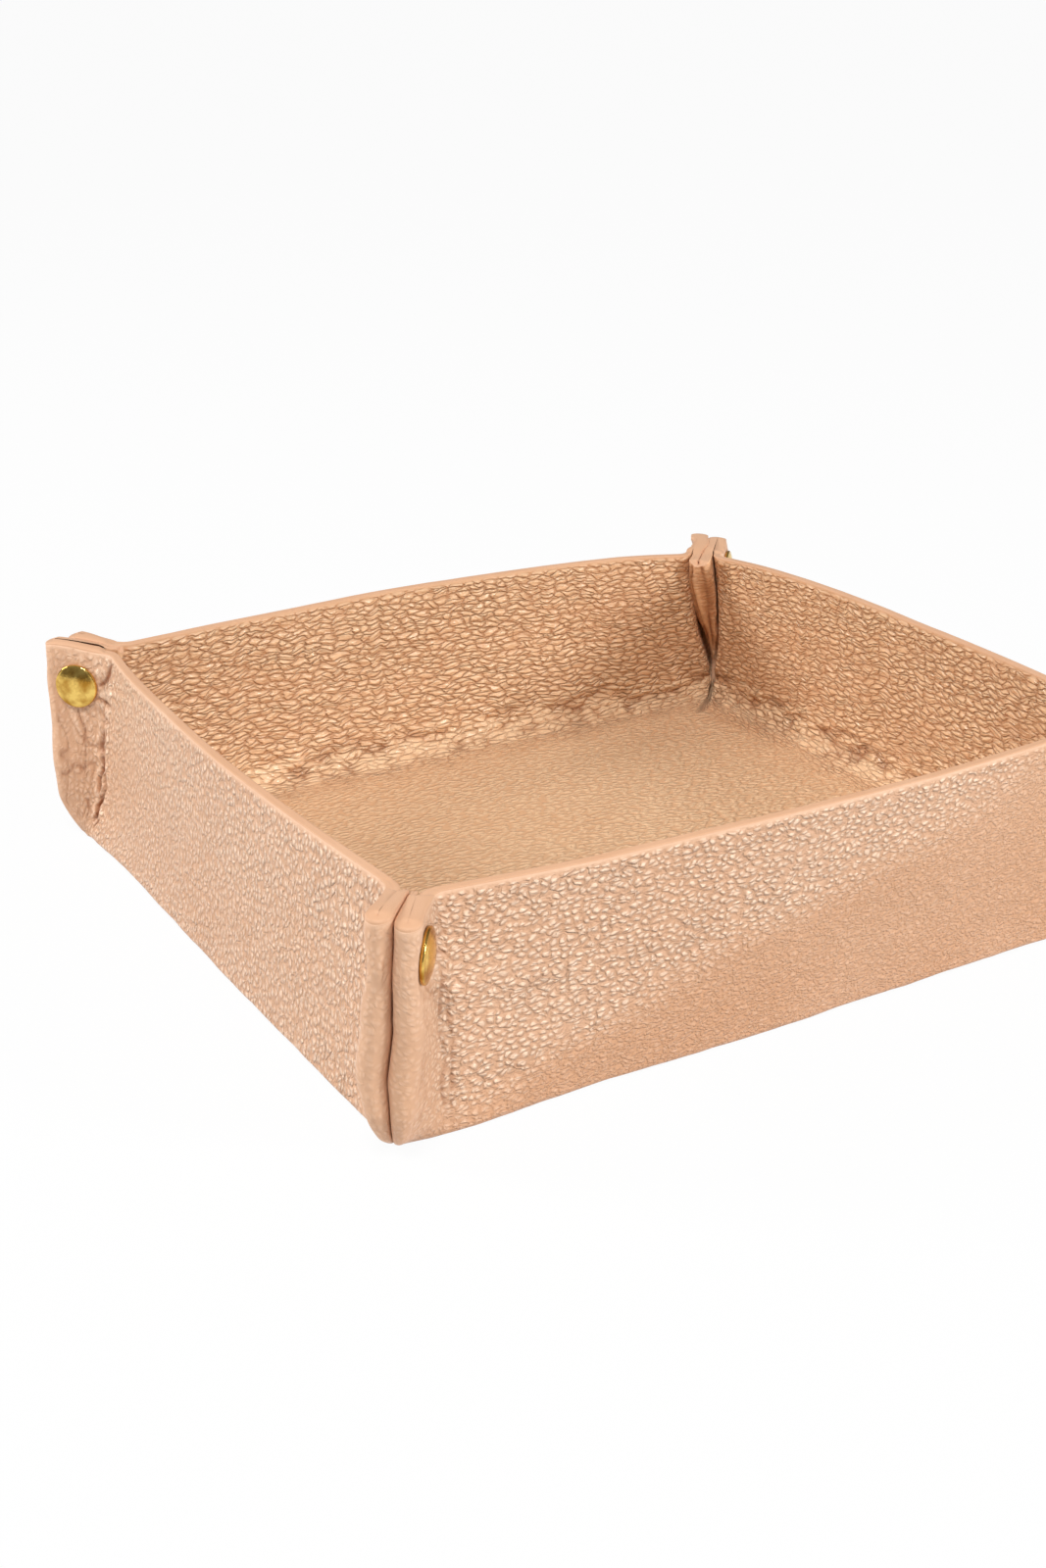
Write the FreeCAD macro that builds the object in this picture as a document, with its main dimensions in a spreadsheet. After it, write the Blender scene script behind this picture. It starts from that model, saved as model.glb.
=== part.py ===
import FreeCAD, Part
import math
import os

import Sketcher

Vector = FreeCAD.Vector

# Driving dimensions of the tray, in millimetres; a turn is in degrees.
DIMENSIONS = [
    ("base_length", 224.0),
    ("base_width", 194.0),
    ("wall_height", 56.5),
    ("outer_thickness", 1.1),
    ("lining_thickness", 1.1),
    ("bond_gap", 0.1),
    ("board_thickness", 0.8),
    ("board_margin", 1.5),
    ("board_corner_radius", 9.0),
    ("edge_radius", 5.0),
    ("cove_radius", 6.0),
    ("corner_lean_length", 7.5),
    ("corner_lean_width", 4.9),
    ("long_wall_bow", 8.8),
    ("short_wall_bow", 5.2),
    ("base_bow", 0.9),
    ("crease_radius", 3.0),
    ("slit_gap", 0.6),
    ("lobe_gap", 0.3),
    ("ear_reach", 7.4),
    ("ear_shoulder", 4.0),
    ("front_left_turn", 5.5),
    ("ear_rise", 1.0),
    ("ear_tip_drop", 0.6),
    ("slit_run_foot", 1.6),
    ("slit_run_shoulder", 3.0),
    ("gusset_reach", 10.5),
    ("rivet_drop", 9.9),
    ("rivet_setback", 9.6),
    ("rivet_seat_gap", 0.05),
    ("cap_diameter", 12.5),
    ("cap_height", 2.3),
    ("cap_rim_height", 0.6),
    ("post_diameter", 3.4),
    ("socket_depth", 1.2),
    ("post_end_gap", 0.4),
    ("bore_clearance", 0.05),
    ("hole_clearance", 0.1),
    ("overrun", 1.0),
]

doc = FreeCAD.newDocument("valet_tray")
sheet = doc.addObject("Spreadsheet::Sheet", "dims")
for row, (alias, value) in enumerate(DIMENSIONS, start=1):
    sheet.set(f"A{row}", alias)
    sheet.set(f"B{row}", str(value))
    sheet.setAlias(f"B{row}", alias)
doc.recompute()


def dim(alias):
    return float(sheet.get(alias))


# Sizes that follow from the driving ones.
SKIN = dim("outer_thickness") + dim("bond_gap") + dim("lining_thickness")
FOLD_RADIUS = SKIN + dim("lobe_gap") / 2
EAR_HALF = dim("slit_gap") / 2 + 2 * FOLD_RADIUS
LINING_OFFSET = dim("outer_thickness") + dim("bond_gap")
BOARD_RISE = dim("board_thickness") + dim("bond_gap")
SHOULDER_HEIGHT = SKIN + BOARD_RISE + dim("cove_radius") + dim("ear_shoulder")
DIAGONAL_LEAN = (dim("corner_lean_length") + dim("corner_lean_width")) / math.sqrt(2)

# The same half thickness of an ear, written for bound sizes.
EAR_HALF_FORMULA = (
    "(dims.slit_gap / 2 + 2 * (dims.outer_thickness + dims.bond_gap"
    " + dims.lining_thickness + dims.lobe_gap / 2))"
)

# Flat sides in a crease, in a quarter turn of a fold and in one of a gusset ridge.
CREASE_SIDES = 2
FOLD_SIDES = 3
RIDGE_SIDES = 2

# Sides of the punch that makes a rivet's hole.
PUNCH_SIDES = 12

# How far out from its middle each step of a rivet's dome lies, as a share of the radius.
DOME_SHARES = (0.76,)

# Corners in counterclockwise order, each with the signs of its X and Y.
CORNERS = [
    ("front_left", -1, -1),
    ("front_right", 1, -1),
    ("back_right", 1, 1),
    ("back_left", -1, 1),
]

# Ears that are bent aside from the diagonal, in degrees.
EAR_TURNS = {"front_left": dim("front_left_turn")}


def outward(corner):
    """The direction that an ear points along, near the diagonal of its corner."""
    name, sign_x, sign_y = corner
    aside = FreeCAD.Rotation(Vector(0, 0, 1), EAR_TURNS.get(name, 0))
    return aside.multVec(Vector(sign_x, sign_y, 0).normalize())


def across(corner):
    """The direction through an ear's thickness, a quarter turn from its diagonal."""
    diagonal = outward(corner)
    return Vector(-diagonal.y, diagonal.x, 0)


def lean_share(height):
    return height / dim("wall_height")


def wall_corner(corner, height, inset):
    """Where two outer wall lines would meet; they lean in towards the rim."""
    _, sign_x, sign_y = corner
    half_length = dim("base_length") / 2 - dim("corner_lean_length") * lean_share(height) - inset
    half_width = dim("base_width") / 2 - dim("corner_lean_width") * lean_share(height) - inset
    return Vector(sign_x * half_length, sign_y * half_width, height)


def ear_edge(height):
    """How far an ear's outer fold stands out from the leaning wall corner."""
    rise_share = min(height / SHOULDER_HEIGHT, 1)
    return dim("ear_reach") * rise_share + DIAGONAL_LEAN * lean_share(height)


def gusset_ridge(height):
    """Where the inner fold of the pleat ends: near the ear's edge low down, in the tray at the rim."""
    if height <= SHOULDER_HEIGHT:
        rise_share = height / SHOULDER_HEIGHT
        run = dim("slit_run_foot") + (dim("slit_run_shoulder") - dim("slit_run_foot")) * rise_share
        return ear_edge(height) - FOLD_RADIUS - run
    low = gusset_ridge(SHOULDER_HEIGHT)
    rise_share = (height - SHOULDER_HEIGHT) / (dim("wall_height") - SHOULDER_HEIGHT)
    return low + (-dim("gusset_reach") - low) * rise_share


class Wall:
    """One bowed wall line between two neighbouring corners at one height."""

    def __init__(self, start, end, bow):
        chord = end - start
        self.normal = Vector(chord.y, -chord.x, 0).normalize()
        self.radius = (chord.Length ** 2 / 4 + bow ** 2) / (2 * bow)
        self.centre = (start + end) / 2 - self.normal * (self.radius - bow)

    def middle(self, offset):
        return self.centre + self.normal * (self.radius - offset)

    def bend(self, corner, tip, side):
        """Centre of the crease that turns this wall into the face of an ear."""
        crease = dim("crease_radius")
        start = tip + across(corner) * (side * (EAR_HALF + crease)) - self.centre
        along = start.dot(outward(corner))
        reach = self.radius + crease
        run = math.sqrt(along ** 2 - start.dot(start) + reach ** 2) - along
        return self.centre + start + outward(corner) * run


def walls_at(height, inset):
    tips = [wall_corner(corner, height, inset) for corner in CORNERS]
    bows = [dim("long_wall_bow"), dim("short_wall_bow")] * 2
    base_bow = dim("base_bow")
    walls = []
    for index, bow in enumerate(bows):
        sag = base_bow + (bow - base_bow) * lean_share(height)
        walls.append(Wall(tips[index], tips[(index + 1) % len(tips)], sag))
    return tips, walls


def turn(centre, start, end, sides):
    """Corners of a small bend, drawn as equal flats about a centre."""
    first = start - centre
    last = end - centre
    angle = math.atan2(first.cross(last).z, first.dot(last))
    steps = [FreeCAD.Rotation(Vector(0, 0, 1), math.degrees(angle) * step / sides) for step in range(sides)]
    return [centre + step.multVec(first) for step in steps] + [end]


def half_pleat(corner, tip, wall, side, offset, rise):
    """Corners of one side of an ear, from the end of the wall to the middle of the gusset."""
    forth = outward(corner)
    sideways = across(corner) * side
    slit = dim("slit_gap") / 2
    height = tip.z
    bend = wall.bend(corner, tip, side)
    wall_end = wall.centre + (bend - wall.centre).normalize() * (wall.radius - offset)
    face_start = bend - sideways * (dim("crease_radius") + offset)
    points = turn(bend, wall_end, face_start, CREASE_SIDES)
    fold = tip + forth * (ear_edge(height) - FOLD_RADIUS) + sideways * (slit + FOLD_RADIUS)
    fold_radius = FOLD_RADIUS - offset
    fold_edge = fold + forth * fold_radius
    lobe = turn(fold, fold + sideways * fold_radius, fold_edge, FOLD_SIDES)
    lobe += turn(fold, fold_edge, fold - sideways * fold_radius, FOLD_SIDES)[1:]
    climb = wall_corner(corner, height + rise, 0) - wall_corner(corner, height, 0)
    climb += forth * (ear_edge(height + rise) - ear_edge(height))
    tip_share = dim("ear_tip_drop") / dim("ear_rise")
    points += [point + climb * (1 - tip_share * (point - fold).dot(forth) / fold_radius) for point in lobe]
    ridge = tip + forth * gusset_ridge(height)
    ridge_radius = slit + offset
    return points + turn(ridge, ridge + sideways * ridge_radius, ridge - forth * ridge_radius, RIDGE_SIDES)


class Section:
    """Closed line of the folded sheet at one height, moved in by an offset; the ears may rise above it."""

    def __init__(self, height, offset, inset, rise):
        tips, walls = walls_at(height, inset)
        self.pleats = []
        for index, corner in enumerate(CORNERS):
            before = half_pleat(corner, tips[index], walls[index - 1], -1, offset, rise)
            after = half_pleat(corner, tips[index], walls[index], 1, offset, rise)
            self.pleats.append(before + after[-2::-1])
        self.arcs = []
        for index, wall in enumerate(walls):
            following = self.pleats[(index + 1) % len(walls)]
            line = Part.Arc(self.pleats[index][-1], wall.middle(offset), following[0])
            self.arcs.append(line.toShape())

    def face(self):
        """The flat piece of leather inside a level section."""
        loop = []
        for pleat, wall_line in zip(self.pleats, self.arcs):
            loop += [Part.LineSegment(start, end).toShape() for start, end in zip(pleat, pleat[1:])]
            loop.append(wall_line)
        return Part.Face(Part.Wire(loop))


def panel(*corners):
    return Part.Face(Part.makePolygon([*corners, corners[0]]))


def band(first, second, flat_folds):
    """Faces between two sections: bowed walls, and panels that are halved where they twist."""
    faces = []
    for pleat, other in zip(first.pleats, second.pleats):
        last = len(pleat) - 1 - CREASE_SIDES
        for step in range(len(pleat) - 1):
            start, end = pleat[step], pleat[step + 1]
            other_start, other_end = other[step], other[step + 1]
            if flat_folds and CREASE_SIDES <= step < last:
                faces.append(panel(start, end, other_end, other_start))
                continue
            faces.append(panel(start, end, other_end))
            faces.append(panel(start, other_end, other_start))
    for line, other_line in zip(first.arcs, second.arcs):
        faces.append(Part.makeRuledSurface(line, other_line))
    return faces


def sheet_sections(offset, bottom, edge_radius):
    """Sections of one face of the sheet: the floor, the turn of its edge, the ears' shoulder and the rim."""
    half_turn = edge_radius * (1 - math.cos(math.pi / 4))
    return [
        Section(bottom, offset, edge_radius, 0),
        Section(bottom + half_turn, offset, half_turn, 0),
        Section(SHOULDER_HEIGHT, offset, 0, 0),
        Section(dim("wall_height"), offset, 0, dim("ear_rise")),
    ]


def ear_frame(corner, height):
    """Frame at the leaning wall corner: X out along the ear, Y through it, Z up."""
    angle = math.degrees(math.atan2(outward(corner).y, outward(corner).x))
    return FreeCAD.Placement(wall_corner(corner, height, 0), FreeCAD.Rotation(Vector(0, 0, 1), angle))


def rivet_axis(corner):
    """Middle of a rivet inside its ear and the direction square to the ear's leaning faces."""
    height = dim("wall_height") - dim("rivet_drop")
    frame = ear_frame(corner, height)
    middle = frame.multVec(Vector(ear_edge(height) - dim("rivet_setback"), 0, 0))
    climb = wall_corner(corner, dim("wall_height"), 0) - wall_corner(corner, 0, 0)
    axis = climb.cross(outward(corner)).normalize()
    if axis.dot(across(corner)) < 0:
        axis = axis * -1
    return middle, axis


def rivet_hole(corner):
    hole = doc.addObject("Part::Prism", f"rivet_hole_{corner[0]}")
    hole.Polygon = PUNCH_SIDES
    inner_share = math.cos(math.pi / PUNCH_SIDES)
    hole.setExpression("Circumradius", f"(dims.post_diameter / 2 + dims.hole_clearance) / {inner_share}")
    hole.setExpression("Height", f"2 * ({EAR_HALF_FORMULA} + dims.overrun)")
    middle, axis = rivet_axis(corner)
    start = middle - axis * (EAR_HALF + dim("overrun"))
    hole.Placement = FreeCAD.Placement(start, FreeCAD.Rotation(Vector(0, 0, 1), axis))
    return hole


def folded_sheet(label, outer_sections, inner_sections, holes):
    """One leather: a sheet with its floor, walls and pleated corners, punched for the rivets."""
    faces = [outer_sections[0].face(), inner_sections[0].face()]
    faces += band(outer_sections[-1], inner_sections[-1], False)
    for sections in (outer_sections, inner_sections):
        for lower, upper in zip(sections, sections[1:]):
            faces += band(lower, upper, True)
    skin = Part.makeShell(faces)
    skin.sewShape()
    blank = doc.addObject("Part::Feature", f"{label}_blank")
    blank.Shape = Part.makeSolid(skin)
    leather = doc.addObject("Part::Cut", label)
    leather.Base = blank
    leather.Tool = holes
    return leather


def origin_plane(body, role):
    return next(item for item in body.Origin.OriginFeatures if item.Role == role)


def bound_profile(body, name, role, points):
    """Closed sketch of straight lines whose corners are bound to the sheet."""
    sketch = body.newObject("Sketcher::SketchObject", name)
    sketch.AttachmentSupport = (origin_plane(body, role), [""])
    sketch.MapMode = "FlatFace"
    places = [Vector(*(float(sheet.evalExpression(text)) for text in point), 0) for point in points]
    count = len(points)
    for index, start in enumerate(places):
        sketch.addGeometry(Part.LineSegment(start, places[(index + 1) % count]), False)
    for index in range(count):
        following = (index + 1) % count
        sketch.addConstraint(Sketcher.Constraint("Coincident", index, 2, following, 1))
    for index, point in enumerate(points):
        for kind, axis, text, place in (
            ("DistanceX", -2, point[0], places[index].x),
            ("DistanceY", -1, point[1], places[index].y),
        ):
            if text == "0":
                sketch.addConstraint(Sketcher.Constraint("PointOnObject", index, 1, axis))
                continue
            pair = (-1, 1, index, 1) if place > 0 else (index, 1, -1, 1)
            number = sketch.addConstraint(Sketcher.Constraint(kind, *pair, abs(place)))
            sketch.setExpression(f"Constraints[{number}]", text if place > 0 else f"-({text})")
    return sketch


def revolved_body(label, points):
    body = doc.addObject("PartDesign::Body", label)
    sketch = bound_profile(body, f"{label}_profile", "XZ_Plane", points)
    turned = body.newObject("PartDesign::Revolution", f"{label}_turned")
    turned.Profile = sketch
    turned.ReferenceAxis = (sketch, ["V_Axis"])
    turned.Angle = 360
    return body


CAP_RADIUS = "dims.cap_diameter / 2"
POST_RADIUS = "dims.post_diameter / 2"
BORE_RADIUS = "dims.post_diameter / 2 + dims.bore_clearance"
POST_LENGTH = f"2 * ({EAR_HALF_FORMULA} + dims.rivet_seat_gap) + dims.socket_depth - dims.post_end_gap"
DOME_HEIGHT = "(dims.cap_height - dims.cap_rim_height)"
DOME = [("0", "dims.cap_height")]
for share in DOME_SHARES:
    drop_share = (share ** 2 - DOME_SHARES[0] ** 2) / (1 - DOME_SHARES[0] ** 2)
    DOME.append((f"{share} * {CAP_RADIUS}", f"dims.cap_height - {drop_share} * {DOME_HEIGHT}"))
DOME += [(CAP_RADIUS, "dims.cap_rim_height"), (CAP_RADIUS, "0")]


def rivet_post(corner):
    """Domed head with a solid post that passes through the four plies of an ear."""
    points = DOME + [
        (POST_RADIUS, "0"),
        (POST_RADIUS, f"-({POST_LENGTH})"),
        ("0", f"-({POST_LENGTH})"),
    ]
    body = revolved_body(f"rivet_post_{corner[0]}", points)
    middle, axis = rivet_axis(corner)
    seat = middle - axis * (EAR_HALF + dim("rivet_seat_gap"))
    body.Placement = FreeCAD.Placement(seat, FreeCAD.Rotation(Vector(0, 0, 1), axis * -1))
    return body


def rivet_cap(corner):
    """Matching domed cap whose socket takes the end of the post."""
    points = DOME + [
        (BORE_RADIUS, "0"),
        (BORE_RADIUS, "dims.socket_depth"),
        ("0", "dims.socket_depth"),
    ]
    body = revolved_body(f"rivet_cap_{corner[0]}", points)
    middle, axis = rivet_axis(corner)
    seat = middle + axis * (EAR_HALF + dim("rivet_seat_gap"))
    body.Placement = FreeCAD.Placement(seat, FreeCAD.Rotation(Vector(0, 0, 1), axis))
    return body


def base_board():
    """Thin flat board between the two leathers that keeps the floor level."""
    body = doc.addObject("PartDesign::Body", "base_board")
    half_length = "(dims.base_length / 2 - dims.edge_radius - dims.board_margin)"
    half_width = "(dims.base_width / 2 - dims.edge_radius - dims.board_margin)"
    points = [
        (f"-{half_length}", f"-{half_width}"),
        (half_length, f"-{half_width}"),
        (half_length, half_width),
        (f"-{half_length}", half_width),
    ]
    sketch = bound_profile(body, "base_board_outline", "XY_Plane", points)
    plate = body.newObject("PartDesign::Pad", "base_board_plate")
    plate.Profile = sketch
    plate.setExpression("Length", "dims.board_thickness")
    doc.recompute()
    upright = [
        f"Edge{number}"
        for number, edge in enumerate(plate.Shape.Edges, start=1)
        if abs(edge.tangentAt(edge.FirstParameter).z) > abs(edge.tangentAt(edge.FirstParameter).x)
        and abs(edge.tangentAt(edge.FirstParameter).z) > abs(edge.tangentAt(edge.FirstParameter).y)
    ]
    rounded = body.newObject("PartDesign::Fillet", "base_board_corners")
    rounded.Base = (plate, upright)
    rounded.setExpression("Radius", "dims.board_corner_radius")
    body.setExpression("Placement.Base.z", "dims.outer_thickness + dims.bond_gap / 2")
    return body


holes = doc.addObject("Part::MultiFuse", "rivet_holes")
holes.Shapes = [rivet_hole(corner) for corner in CORNERS]
outer_leather = folded_sheet(
    "outer_leather",
    sheet_sections(0, 0, dim("edge_radius")),
    sheet_sections(
        dim("outer_thickness"),
        dim("outer_thickness"),
        dim("edge_radius") - dim("outer_thickness"),
    ),
    holes,
)
lining_leather = folded_sheet(
    "lining_leather",
    sheet_sections(
        LINING_OFFSET,
        LINING_OFFSET + BOARD_RISE,
        dim("cove_radius") + dim("lining_thickness"),
    ),
    sheet_sections(SKIN, SKIN + BOARD_RISE, dim("cove_radius")),
    holes,
)
sub_parts = [outer_leather, lining_leather, base_board()]
for corner in CORNERS:
    sub_parts.append(rivet_post(corner))
    sub_parts.append(rivet_cap(corner))

doc.recompute()
for item in doc.Objects:
    if "Invalid" in item.State or "Error" in item.State:
        raise RuntimeError(f"{item.Label} failed: {item.State}")
os.makedirs("parts", exist_ok=True)
for item in sub_parts:
    if item.Shape.isNull() or not item.Shape.isValid():
        raise RuntimeError(f"{item.Label} has no valid shape")
    print(item.Label, len(item.Shape.Solids), "solid", round(item.Shape.Volume), "mm3")
    item.Shape.exportStep(f"parts/{item.Label}.step")
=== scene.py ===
import math
from collections import namedtuple
from functools import partialmethod

import bpy
import numpy as np
from mathutils import Matrix, Vector


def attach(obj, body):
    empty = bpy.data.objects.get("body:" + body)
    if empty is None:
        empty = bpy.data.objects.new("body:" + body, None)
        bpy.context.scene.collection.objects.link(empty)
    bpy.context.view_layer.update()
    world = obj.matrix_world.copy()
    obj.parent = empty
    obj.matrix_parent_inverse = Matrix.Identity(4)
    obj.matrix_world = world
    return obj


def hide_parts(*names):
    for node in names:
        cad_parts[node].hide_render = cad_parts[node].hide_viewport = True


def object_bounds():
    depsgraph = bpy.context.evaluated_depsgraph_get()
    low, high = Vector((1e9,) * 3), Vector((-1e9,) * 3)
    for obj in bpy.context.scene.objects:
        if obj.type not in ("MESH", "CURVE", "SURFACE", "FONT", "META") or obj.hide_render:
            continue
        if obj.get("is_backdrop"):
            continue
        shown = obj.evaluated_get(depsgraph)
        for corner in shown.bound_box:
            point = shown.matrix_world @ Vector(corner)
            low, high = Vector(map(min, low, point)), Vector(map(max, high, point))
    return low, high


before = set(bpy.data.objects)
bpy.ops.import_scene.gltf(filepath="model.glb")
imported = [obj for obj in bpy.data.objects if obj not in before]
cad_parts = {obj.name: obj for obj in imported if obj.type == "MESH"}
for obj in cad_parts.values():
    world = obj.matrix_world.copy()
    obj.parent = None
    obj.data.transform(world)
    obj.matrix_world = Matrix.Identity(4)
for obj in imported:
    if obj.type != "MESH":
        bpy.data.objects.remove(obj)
cad_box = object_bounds()

MM = 0.001

# Sizes of the tray in millimetres, as the frame has them; the skin is both leathers together.
BASE_LENGTH = 224.0
BASE_WIDTH = 194.0
BASE_BOW = 0.9
WALL_HEIGHT = 56.5
LEAN_LENGTH = 7.5
LEAN_WIDTH = 4.9
DIAGONAL_LEAN = (LEAN_LENGTH + LEAN_WIDTH) / math.sqrt(2)
SKIN = 2.3
FLOOR_TOP = 3.2
# An ear: half its thickness, its reach, how roundly and at what height it gets there, the slit in it.
EAR_HALF = 5.2
EAR_REACH = 7.4
EAR_ROUNDING = 1.7
SHOULDER = 13.2
SLIT = 0.3
# How far the ridge inside a corner stays behind the lobes, at the foot and at the shoulder.
RUN_FOOT = 1.6
RUN_SHOULDER = 3.0
# A rivet: its height, its distance from the ear's edge, where its heads sit, and how far the post's head sinks.
RIVET_HEIGHT = 46.6
RIVET_SETBACK = 9.6
RIVET_SEAT = EAR_HALF + 0.05
POST_SINK = 0.8

# Height and size pairs: a lobe's radius, how far from the ear's middle a wall turns into it (wider on some
# sides of corners), half the width of the ridge inside a corner, and the length of the turns.
LOBE = (
    (0, 0.6), (4, 1.4), (9, 2.2), (15, 2.9), (22, 3.4), (28, 3.4), (34, 3.2), (40, 3.1), (50, 3.0), (70, 2.8),
)
ROOT = ((0, 3.0), (8, 5.0), (15, 5.6), (39, 5.2), (70, 5.2))
WIDE_ROOT = ((0, 9.4), (20, 8.2), (39, 6.2), (56, 5.4), (70, 5.4))
WIDE_SIDES = ((0, 1), (0, -1), (1, -1), (2, 1))
RIDGE = ((0, 0.12), (9, 0.15), (57, 2.6), (70, 2.6))
PLUMP_RIDGE = ((0, 0.12), (12, 0.3), (17, 1.2), (24, 2.6), (34, 3.6), (46, 3.9), (57, 2.8), (70, 2.8))
PLUMP_CORNER = 2
RIDGE_GAP = 0.3
OUTER_TURN = 2.5
INNER_TURN = ((0, 2.0), (30, 2.4), (50, 3.6), (70, 3.6))
LEAST_LOBE = 0.12
LEAST_RIDGE = 0.04

# How far each wall bows out at the rim: front, right, back, left.
WALL_BOWS = (6.8, 5.2, 10.4, 5.0)
WALL_NORMALS = np.array([(0, -1), (1, 0), (0, 1), (-1, 0)], float)
CORNERS = (("front_left", -1, -1), ("front_right", 1, -1), ("back_right", 1, 1), ("back_left", -1, 1))
# Each ear: turn aside in degrees, rise of its two lobes above the rim, and lift of the rim around it.
EAR_TURNS = (5.5, 0, 0, 0)
EAR_RISES = ((2.2, 0.9), (0.8, 0.6), (2.0, 2.4), (1.6, 1.6))
CORNER_LIFT = (-0.2, 0.2, -3.2, 0.5)
LIFT_PLATEAU = 16
LIFT_SPREAD = 30.0
# Share of a lobe's rise at the crease and in the slit, and the dips at the ear's edge and in the ridge.
CREASE_RISE = 0.1
SLIT_RISE = 0.2
TIP_DROP = 0.6
RIDGE_DROP = 1.4
# At the rim: how far each ear stands to its left, how far its tip bends there, how much shorter each lobe is.
EAR_SHIFTS = (0, 0, 2.1, 0)
EAR_BENDS = (0, 0.5, 0.5, 0)
LOBE_CUTS = ((0, 0), (0.6, 0), (0.5, 0), (4.0, 0))
# Inside each corner: how far the ridge reaches into the tray at the rim, and how open the slot is.
GUSSETS = (2.5, 4.5, 10.5, 4.0)
OPENINGS = (0.6, 0.7, 1.0, 0.65)
# At the foot: how far each ear is tucked in, and how far the wall after it stands out.
FOOT_TUCKS = (1.6, 1.0, 1.0, -0.4)
FOOT_FLARES = (0.9, 0, 0, 1.5)
FLARE_SPREAD = 18
# How crumpled the crease is where the walls before and after each ear turn into it, and its two strands.
CREASE_DEPTHS = ((0.15, 0.4), (0.7, 0.7), (0.7, 0.5), (0.7, 1.5))
STRAND_WIDTHS = (0.55, 0.4)
STRAND_GAP = 1.5
# How hard each corner's rivet draws the leather, how many folds fan out, and the radius it acts in.
PULLS = (0.6, 1.0, 1.0, 1.6)
PULL_RAYS = 6
PULL_SCOPE = 30
# The leather lies flat under a head to this radius, and rises again from there to the second.
HEAD_CLEAR = 6.8
HEAD_EASE = 11
# Columns from the middle of the plump ridge to each of its two folds.
RIDGE_FOLDS = (-3.0, 4.0)
# How full the pebbles stand on each wall of the lining. Outside, on the front wall, they stand full above a
# slanting line: where it starts, its height there and its slope.
LINING_FULLNESS = (0.75, 0.9, 0.95, 0.75)
FULL_LINE_START = -95
FULL_LINE_HEIGHT = 7
FULL_LINE_SLOPE = 0.26
# Fullness on a leather's hidden back, and zones of the points that close its floors.
BACK_FULLNESS = 0.3
MIDDLE_ZONES = (0, 0, 1, 0.2)

# Height of the painted edge over the leathers, the dent along its seam, and how far its sides reach down.
EDGE_CROWN = 0.38
EDGE_STEPS = 13
SEAM_DENT = 0.45
SEAM_WIDTH = 0.14
EDGE_OVERLAP = 0.25

# Columns of the mesh in the crease, face, fold, slit and ridge of half an ear, and in each wall.
CREASE_COLS, FACE_COLS, FOLD_COLS, SLIT_COLS, RIDGE_COLS = 14, 34, 16, 14, 12
EAR_COLS = (CREASE_COLS, FACE_COLS, FOLD_COLS, SLIT_COLS, RIDGE_COLS + 1)
HALF_COLS = sum(EAR_COLS)
WALL_COLS = (300, 260, 300, 260)
END_CROWDING = 0.4
# Rows up a leather, in its turned bottom edge and above it, on the side that shows and on its back.
FACE_ROWS = (12, 100)
BACK_ROWS = (3, 44)
BACK_RINGS = 6
# A floor: rings in which the pleats ease away, on each side, bulge of its corners, and crowding of its rings.
FLOOR_BLEND = 6
BACK_BLEND = 2
FLOOR_BULGE = 0.9
RING_CROWDING = 0.85

# Seeds of the random fields, each for one kind of unevenness.
RIM_SEED = 5
OUTER_SEED, LINING_SEED = 10, 40
SWAY_SEED = 21
CREASE_SEED = 60
FLOOR_SEED = 71
EAR_SEED = 81
EDGE_SEED = 91
PULL_SEED = 95
RIDGE_SEED = 97
OUTER_PATCH_SEED, LINING_PATCH_SEED = 120, 130
GRAIN_SEED = 141

# A leather: its bottom, edge radius and depth under the outside, the same for its back, the rings in its
# floor, and the length and height of a pebble on the front, right, back and left walls.
Leather = namedtuple(
    "Leather", "bottom edge_radius offset back_bottom back_radius back_offset rings pebbles inner"
)
OUTER = Leather(
    bottom=0.0, edge_radius=1.6, offset=0.0, back_bottom=1.1, back_radius=0.5, back_offset=1.1, rings=16,
    pebbles=((2.2, 1.4), (2.2, 1.6), (2.2, 1.6), (1.6, 2.2)), inner=False,
)
LINING = Leather(
    bottom=FLOOR_TOP, edge_radius=6.0, offset=SKIN, back_bottom=2.1, back_radius=7.1, back_offset=1.2, rings=48,
    pebbles=((4.0, 1.6), (4.0, 1.6), (4.2, 1.6), (4.0, 1.6)), inner=True,
)


def lattice(u, v, seed):
    """Smooth random field between -1 and 1 on a unit grid."""
    table = np.random.default_rng(seed).uniform(-1, 1, (256, 256))
    iu, iv = np.floor(u).astype(int), np.floor(v).astype(int)
    fu, fv = smooth(0, 1, u - iu), smooth(0, 1, v - iv)
    a, b = iu & 255, iv & 255
    c, d = (iu + 1) & 255, (iv + 1) & 255
    low = table[a, b] * (1 - fu) + table[c, b] * fu
    high = table[a, d] * (1 - fu) + table[c, d] * fu
    return low * (1 - fv) + high * fv


def lattice_line(u, v, seed):
    """The same field along one line across the grid."""
    return lattice(u, np.full_like(u, v), seed)


def smooth(low, high, value):
    """Soft step from 0 at the low value to 1 at the high one."""
    share = np.clip((value - low) / (high - low), 0, 1)
    return share * share * (3 - 2 * share)


def bell(distance, width):
    """1 at no distance, fading to 0 on both sides over about the width."""
    return np.exp(-((distance / width) ** 2))


def ramp(z, knots):
    """A size that follows the height through its knots."""
    heights, values = zip(*knots)
    return np.interp(z, heights, values)


def half_sizes(z, inset):
    """Half of the tray's length and width between its corners, at each height."""
    half_x = BASE_LENGTH / 2 - LEAN_LENGTH * z / WALL_HEIGHT - inset
    half_y = BASE_WIDTH / 2 - LEAN_WIDTH * z / WALL_HEIGHT - inset
    return half_x, half_y


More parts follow.
